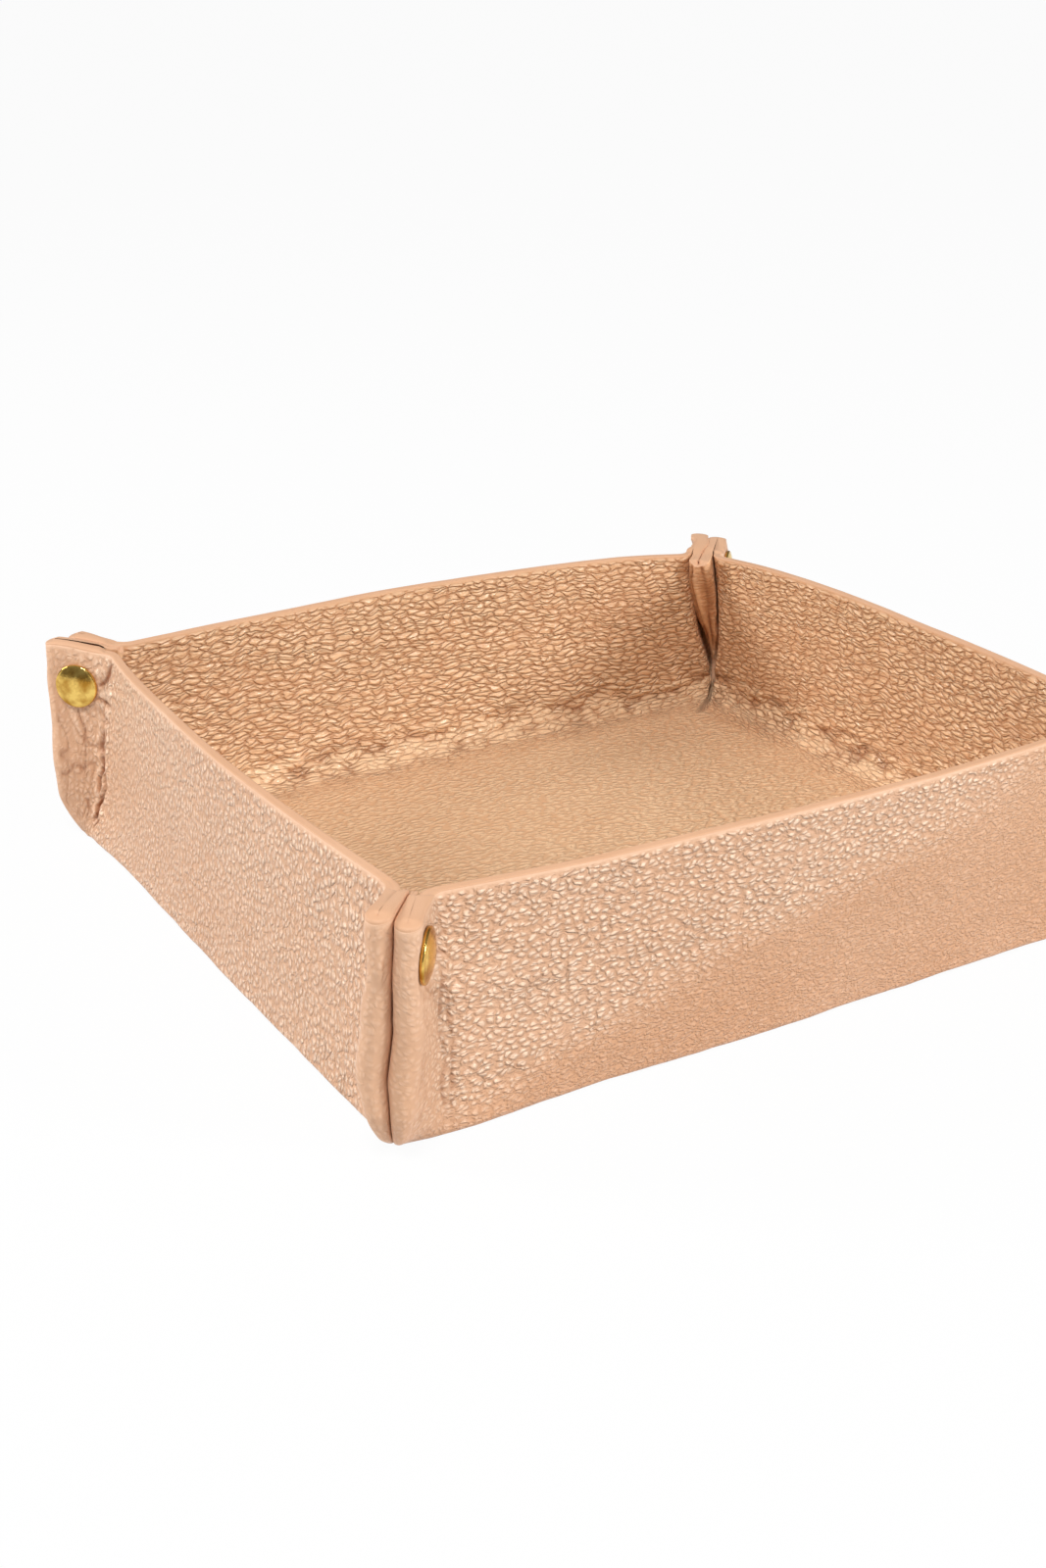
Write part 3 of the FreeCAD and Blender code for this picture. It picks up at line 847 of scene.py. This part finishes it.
def painted_edge(name, outer_top, inner_top):
    """Thin rounded edge over both leathers, all round the rim; it closes over each lobe of an ear."""
    inner_top, lobe = lobe_tops(inner_top)
    last = math.pi * (1 - 0.5 * lobe)
    rise = EDGE_CROWN + 0.06 * lattice_line(ALONG / 7, 1.7, EDGE_SEED)
    rows = []
    for step in range(EDGE_STEPS):
        turn = last * step / (EDGE_STEPS - 1)
        share = (1 - np.cos(turn)) / (1 - np.cos(last))
        row = outer_top + (inner_top - outer_top) * share[:, None]
        seam = 1 - SEAM_DENT * (1 - lobe) * bell(np.cos(turn), SEAM_WIDTH)
        row[:, 2] += rise * np.sin(turn) ** 0.6 * seam * (1 + 1.8 * lobe)
        rows.append(row)
    rows[0][:, 2] -= EDGE_OVERLAP
    rows[-1][:, 2] -= EDGE_OVERLAP * (1 - lobe)
    stack = np.array(rows).reshape(-1, 3)
    zones = np.zeros((len(stack), 4))
    zones[:, 1] = 1
    faces = quads(EDGE_STEPS, False)
    return leather_mesh(name, stack, faces, zones, stack * (1, 1, 0), np.zeros(len(stack)))


def linear(red, green, blue):
    """Colour as the shader takes it, from the usual 0 to 255."""
    shares = (value / 255 for value in (red, green, blue))
    return (*(v / 12.92 if v <= 0.04045 else ((v + 0.055) / 1.055) ** 2.4 for v in shares), 1)


class Nodes:
    """Node tree of a material or world, with short names for what is built often."""

    def __init__(self, owner):
        owner.use_nodes = True
        self.owner = owner
        self.tree = owner.node_tree
        self.tree.nodes.clear()
        self.link = self.tree.links.new

    def add(self, kind, **settings):
        """A node with properties or sockets set by name; an underscore stands for a space."""
        node = self.tree.nodes.new("ShaderNode" + kind)
        for key, value in settings.items():
            if hasattr(node, key):
                setattr(node, key, value)
            else:
                node.inputs[key.replace("_", " ")].default_value = value
        return node

    def attribute(self, name, output):
        return self.add("Attribute", attribute_name=name).outputs[output]

    def object_place(self):
        return self.add("TexCoord").outputs["Object"]

    def combine(self, operation, first, second):
        """A sum, product or the like of two sockets or numbers."""
        node = self.add("Math", operation=operation)
        for slot, value in enumerate((first, second)):
            if isinstance(value, (int, float)):
                node.inputs[slot].default_value = value
            else:
                self.link(value, node.inputs[slot])
        return node.outputs[0]

    times = partialmethod(combine, "MULTIPLY")
    plus = partialmethod(combine, "ADD")
    most = partialmethod(combine, "MAXIMUM")

    def rest(self, share):
        """What a share leaves of 1."""
        return self.combine("SUBTRACT", 1.0, share)

    def map_range(self, value, low, high, to_low, to_high, kind="LINEAR"):
        node = self.add(
            "MapRange", interpolation_type=kind, From_Min=low, From_Max=high, To_Min=to_low, To_Max=to_high
        )
        self.link(value, node.inputs["Value"])
        return node.outputs[0]

    soft_range = partialmethod(map_range, kind="SMOOTHSTEP")

    def noise(self, place, scale, detail, output=0):
        node = self.add("TexNoise", Scale=scale, Detail=detail)
        self.link(place, node.inputs["Vector"])
        return node.outputs[output]

    def warped(self, place, scale, amount):
        """A place moved aside by noise, so that cells there aren't straight."""
        shift = self.add("VectorMath", operation="MULTIPLY_ADD")
        self.link(self.noise(place, scale, 3.0, 1), shift.inputs[0])
        shift.inputs[1].default_value = (amount, amount, 0)
        self.link(place, shift.inputs[2])
        return shift.outputs[0]

    def cells(self, place, feature, scale):
        """Distance in a flat pattern of cells."""
        node = self.add("TexVoronoi", voronoi_dimensions="2D", feature=feature, Scale=scale)
        if feature == "SMOOTH_F1":
            node.inputs["Smoothness"].default_value = 0.5
        self.link(place, node.inputs["Vector"])
        return node.outputs["Distance"]

    def domes(self, place, scale, flat, edge):
        """Round bumps, 1 within a flat radius of each cell's middle and 0 at its edge."""
        return self.soft_range(self.cells(place, "SMOOTH_F1", scale), flat, edge, 1.0, 0.0)

    def blend(self, share, first, second):
        """Mix of two colours, each given from 0 to 255 or by another node."""
        mix = self.add("Mix", data_type="RGBA")
        self.link(share, mix.inputs["Factor"])
        for key, colour in (("A", first), ("B", second)):
            if isinstance(colour, tuple):
                mix.inputs[key].default_value = linear(*colour)
            else:
                self.link(colour, mix.inputs[key])
        return mix.outputs["Result"]

    def bump(self, height, distance, strength=1.0):
        node = self.add("Bump", Strength=strength, Distance=distance * MM)
        self.link(height, node.inputs["Height"])
        return node.outputs[0]

    def surface(self, shader, **sources):
        """Ends a material with a shader, its named sockets fed from other nodes."""
        for key, source in sources.items():
            self.link(source, shader.inputs[key.replace("_", " ")])
        self.link(shader.outputs[0], self.add("OutputMaterial").inputs[0])
        return self.owner

    def mix_shaders(self, share, first, second):
        mix = self.add("MixShader")
        self.link(share, mix.inputs[0])
        self.link(first.outputs[0], mix.inputs[1])
        self.link(second.outputs[0], mix.inputs[2])
        return mix


def leather_material(name, light, dark, crease, relief, rough, line, swell, highlight_start, crown_highlight, valleys):
    """Pebbled leather: round full cells between thin valleys, long draw lines, fine grain, smooth at folds.

    Relief is in millimetres, line is a valley's share of a cell, swell is how domed a pebble is,
    highlight_start where a painted highlight starts up each pebble; crown_highlight and valleys say how much
    painted highlight lightens the top of a pebble and painted shade darkens the valleys, and crease is the
    colour of that painted shade.
    """
    nodes = Nodes(bpy.data.materials.new(name))
    link, times, plus, rest = nodes.link, nodes.times, nodes.plus, nodes.rest
    noise, cells, domes = nodes.noise, nodes.cells, nodes.domes
    map_range, soft_range = nodes.map_range, nodes.soft_range
    hide = nodes.attribute("hide", "Vector")
    zones = nodes.add("Attribute", attribute_name="zones")
    split = nodes.add("SeparateColor")
    link(zones.outputs["Color"], split.inputs[0])
    ear, border, floor = split.outputs[0], split.outputs[1], split.outputs[2]
    full = zones.outputs["Alpha"]

    # Walls: pebbles, smaller cells between them, and long draw lines here and there.
    place = nodes.warped(hide, 0.55, 1.5)
    dome = domes(place, 1.0, 0.08, 0.62)
    sides = soft_range(cells(place, "DISTANCE_TO_EDGE", 1.0), 0.0, line, 0.0, 1.0)
    pebbles = plus(times(dome, swell), times(sides, 1 - swell))
    small = domes(place, 2.2, 0.1, 0.65)
    draw = soft_range(cells(place, "DISTANCE_TO_EDGE", 0.4), 0.0, 0.08, 1.0, 0.0)
    draw = times(draw, map_range(noise(hide, 0.2, 1.0), 0.42, 0.6, 0.0, 1.0))
    uneven = map_range(noise(hide, 0.16, 2.0), 0.3, 0.7, 0.7, 1.15)
    strength = times(full, uneven)
    big = times(pebbles, strength)
    fine = times(small, map_range(full, 0.0, 1.0, 0.5, 0.2))
    walls = plus(plus(big, fine), times(times(draw, strength), -0.5))

    # Floor: a finer grain, drawn out slantwise.
    flat = nodes.add("Mapping", Rotation=(0, 0, math.radians(24)), Scale=(1000 / 2.4, 1000 / 1.2, 1000))
    link(nodes.object_place(), flat.inputs["Vector"])
    ripple = domes(nodes.warped(flat.outputs[0], 0.5, 1.6), 1.0, 0.1, 0.65)
    ripple = times(ripple, plus(0.5, full))
    on_walls = rest(floor)
    grain = plus(times(walls, on_walls), times(ripple, floor))

    # The grain is stretched flat at folds and at the rim.
    calm = times(rest(times(ear, 0.8)), rest(times(border, 0.96)))
    pores = noise(hide, 5.0, 3.0)
    height = plus(times(grain, calm), times(pores, 0.07))

    # Painted highlight on the top of each pebble, on floor ripples and on fold crests, painted shade in valleys
    # and creases; the base tone varies at random and is lighter with fuller pebbles, on the painted edge and on
    # the floor.
    fold_shade_and_highlight = nodes.attribute("fold_shade_and_highlight", "Fac")
    valley = times(times(times(rest(sides), full), calm), on_walls)
    crest_highlight = nodes.most(times(fold_shade_and_highlight, -1.0), 0.0)
    tone = map_range(noise(hide, 0.05, 2.0), 0.3, 0.7, 0.2, 0.3)
    tone = plus(tone, times(full, 0.2))
    top_highlight = times(times(map_range(pebbles, highlight_start, 1.0, 0.0, 1.0), strength), times(calm, on_walls))
    top_highlight = plus(top_highlight, times(ripple, times(floor, 0.9)))
    tone = plus(tone, plus(times(top_highlight, crown_highlight), times(crest_highlight, 0.5)))
    tone = plus(tone, plus(times(border, 0.12), times(floor, 0.3)))
    shade = plus(times(fold_shade_and_highlight, 0.8), times(valley, valleys))
    colour = nodes.blend(shade, nodes.blend(tone, dark, light), crease)

    skin = nodes.add("BsdfPrincipled", Specular_IOR_Level=0.5, Sheen_Weight=0.05)
    return nodes.surface(
        skin,
        Base_Color=colour,
        Roughness=map_range(height, 0.0, 1.0, rough + 0.28, rough - 0.05),
        Normal=nodes.bump(height, relief),
    )


def brass_material():
    """Polished brass, darker and lighter in soft patches at random, and finely scuffed."""
    nodes = Nodes(bpy.data.materials.new("rivet_brass_polished"))
    place = nodes.object_place()
    patch_tone = nodes.map_range(nodes.noise(place, 260.0, 3.0), 0.36, 0.64, 0.0, 1.0)
    scuff = nodes.noise(place, 2200.0, 3.0)
    return nodes.surface(
        nodes.add("BsdfPrincipled", Metallic=1.0),
        Base_Color=nodes.blend(patch_tone, (178, 128, 48), (240, 202, 112)),
        Roughness=nodes.map_range(scuff, 0.3, 0.7, 0.08, 0.26),
        Normal=nodes.bump(scuff, 0.06, 0.5),
    )


def board_material():
    """Raw board of pressed leather fibres."""
    nodes = Nodes(bpy.data.materials.new("fibre_board_raw"))
    fibres = nodes.noise(nodes.object_place(), 900.0, 4.0)
    return nodes.surface(
        nodes.add("BsdfPrincipled", Roughness=0.85),
        Base_Color=nodes.blend(fibres, (150, 112, 78), (196, 156, 116)),
        Normal=nodes.bump(fibres, 0.1),
    )


# A rivet head: height of the dome, radius and height where it meets the rolled rim, radii of the rim's upper
# and lower rounding, and radius and length of the start of the post.
DOME_HEIGHT = 2.2
DOME_RADIUS = 5.75
DOME_EDGE = 1.15
DOME_POWER = 2.2
DOME_STEPS = 14
RIM_ROUND = 0.5
RIM_MIDDLE = 0.65
RIM_STEPS = 8
UNDER_ROUND = 0.4
UNDER_RADIUS = 5.85
UNDER_HEIGHT = 0.42
UNDER_STEPS = 5
POST_RADIUS = 1.7
POST_TOP = 0.02
POST_END = -2.4
SEGMENTS = 64


def head_profile():
    """Radius and height from a rivet head's dome over its rim to the post."""
    dome = [step / DOME_STEPS for step in range(1, DOME_STEPS + 1)]
    rim = [math.pi / 2 * step / RIM_STEPS for step in range(1, RIM_STEPS + 1)]
    under = [math.pi / 2 * step / UNDER_STEPS for step in range(1, UNDER_STEPS + 1)]
    return [
        *((DOME_RADIUS * s, DOME_HEIGHT + (DOME_EDGE - DOME_HEIGHT) * s ** DOME_POWER) for s in dome),
        *((DOME_RADIUS + RIM_ROUND * math.sin(t), RIM_MIDDLE + RIM_ROUND * math.cos(t)) for t in rim),
        *((UNDER_RADIUS + UNDER_ROUND * math.cos(t), UNDER_HEIGHT - UNDER_ROUND * math.sin(t)) for t in under),
        (POST_RADIUS, POST_TOP),
        (POST_RADIUS, POST_END),
    ]


def rivet_head(name, seat, axis):
    """Domed brass head with a rolled rim, and the start of its post."""
    profile = head_profile()
    points = [(0, 0, DOME_HEIGHT), (0, 0, POST_END)]
    turns = [2 * math.pi * segment / SEGMENTS for segment in range(SEGMENTS)]
    points += [(radius * math.cos(t), radius * math.sin(t), up) for radius, up in profile for t in turns]
    upright = Vector((0, 0, 1)).rotation_difference(Vector(axis)).to_matrix()
    vertices = np.array([np.array(upright @ Vector(point)) + seat for point in points])
    faces = []
    for segment in range(SEGMENTS):
        a, b = 2 + segment, 2 + (segment + 1) % SEGMENTS
        faces.append((0, a, b))
        for _ in profile[1:]:
            faces.append((a, a + SEGMENTS, b + SEGMENTS, b))
            a, b = a + SEGMENTS, b + SEGMENTS
        faces.append((a, 1, b))
    return new_piece(name, vertices, faces)


# crease is the colour of painted shade in creases and valleys; crown_highlight lightens the top of each pebble
# as a painted highlight.
outer_look = leather_material(
    "leather_outer_pebbled",
    light=(252, 217, 187), dark=(199, 136, 86), crease=(156, 92, 50),
    relief=0.62, rough=0.27, line=0.3, swell=0.75, highlight_start=0.45, crown_highlight=0.8, valleys=0.16,
)
lining_look = leather_material(
    "leather_lining_pebbled",
    light=(248, 208, 166), dark=(181, 113, 59), crease=(140, 80, 42),
    relief=0.72, rough=0.24, line=0.17, swell=0.48, highlight_start=0.15, crown_highlight=0.64, valleys=0.2,
)

outer, outer_face = leather_piece("outer_leather_skin", OUTER)
lining, lining_face = leather_piece("lining_leather_skin", LINING)
rim = painted_edge("painted_edge", outer_face[-1], lining_face[-1])
for piece, look, slot_name in (
    (outer, outer_look, "leather_outer"),
    (lining, lining_look, "leather_lining"),
    (rim, outer_look, "leather_outer"),
):
    piece.data.materials.append(look)
    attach(piece, "root")
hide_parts("outer_leather")
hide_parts("lining_leather")

brass = brass_material()
for corner, (name, _, _) in enumerate(CORNERS):
    middle, axis, _ = rivet_place(corner)
    for half, side, seat in (("cap", 1, RIVET_SEAT), ("post", -1, RIVET_SEAT - POST_SINK)):
        head = rivet_head(f"rivet_head_{half}_{name}", middle + axis * side * seat, axis * side)
        head.data.materials.append(brass)
        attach(head, "root")
        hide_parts(f"rivet_{half}_{name}")

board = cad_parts["base_board"]
board.data.materials.clear()
board.data.materials.append(board_material())

# The studio: half the floor in millimetres, and lamps with a place and size in metres and a power.
FLOOR_REACH = 60000
FLOOR_GREY = 0.75
FLOOR_WHITENESS = 0.955
SKY_STRENGTH = 0.22
AIM = Vector((0, 0, 0.03))
LAMPS = (
    ("key", (-0.46, -0.46, 1.24), 0.3, 11.8),
    ("front_right", (0.74, -1.01, 0.5), 0.35, 9.4),
    ("left_back", (-1.01, 0.68, 0.6), 0.35, 8.6),
)


def studio_floor():
    """Floor that is white to the camera, with a faint shadow of the tray."""
    square = np.array([(-1, -1, 0), (1, -1, 0), (1, 1, 0), (-1, 1, 0)])
    piece = new_piece("studio_floor", FLOOR_REACH * square, [(0, 1, 2, 3)])
    nodes = Nodes(bpy.data.materials.new("studio_white"))
    path = nodes.add("LightPath").outputs
    seen = nodes.most(path["Is Camera Ray"], path["Is Glossy Ray"])
    seen = nodes.times(nodes.most(seen, path["Is Transmission Ray"]), FLOOR_WHITENESS)
    matte = nodes.add("BsdfDiffuse", Color=(FLOOR_GREY, FLOOR_GREY, FLOOR_GREY, 1))
    white = nodes.mix_shaders(seen, matte, nodes.add("Emission"))
    piece.data.materials.append(nodes.surface(white))
    return piece


def studio_world():
    """White sky that lights the tray only a little."""
    world = bpy.data.worlds.new("studio")
    bpy.context.scene.world = world
    nodes = Nodes(world)
    path = nodes.add("LightPath").outputs
    seen = nodes.most(path["Is Camera Ray"], path["Is Transmission Ray"])
    dim_sky = nodes.add("Background", Color=(1, 1, 1, 1), Strength=SKY_STRENGTH)
    bright_sky = nodes.add("Background", Color=(1, 1, 1, 1))
    sky = nodes.mix_shaders(seen, dim_sky, bright_sky)
    nodes.link(sky.outputs[0], nodes.add("OutputWorld").inputs[0])


floor = studio_floor()
floor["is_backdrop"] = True
studio_world()
for name, place, size, power in LAMPS:
    lamp = bpy.data.lights.new(name, "AREA")
    lamp.size = size
    lamp.energy = power
    softbox = bpy.data.objects.new(name, lamp)
    softbox.location = place
    softbox.rotation_euler = (AIM - Vector(place)).to_track_quat("-Z", "Y").to_euler()
    bpy.context.collection.objects.link(softbox)

# Camera fitted to the photograph: its focal length in pixels, its axes and its place in metres.
PHOTO_HEIGHT = 1600
FOCAL_PIXELS = 1989.34
SENSOR_HEIGHT = 36.0
CAMERA_RIGHT = (0.86030, -0.50979, 0.0)
CAMERA_UP = (0.19667, 0.33190, 0.92258)
CAMERA_BACK = (-0.47032, -0.79369, 0.38579)
CAMERA_PLACE = (-0.26885, -0.41626, 0.23307)

camera_data = bpy.data.cameras.new("camera")
camera_data.sensor_fit = "VERTICAL"
camera_data.sensor_height = SENSOR_HEIGHT
camera_data.lens = FOCAL_PIXELS / PHOTO_HEIGHT * SENSOR_HEIGHT
camera_data.clip_end = 200.0
camera = bpy.data.objects.new("camera", camera_data)
axes = (CAMERA_RIGHT, CAMERA_UP, CAMERA_BACK, CAMERA_PLACE)
camera.matrix_world = Matrix((*zip(*axes), (0, 0, 0, 1)))
bpy.context.collection.objects.link(camera)
bpy.context.scene.camera = camera
bpy.context.scene.view_settings.view_transform = "Standard"

plain = [[list(map(float, corner)) for corner in box] for box in (cad_box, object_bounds())]
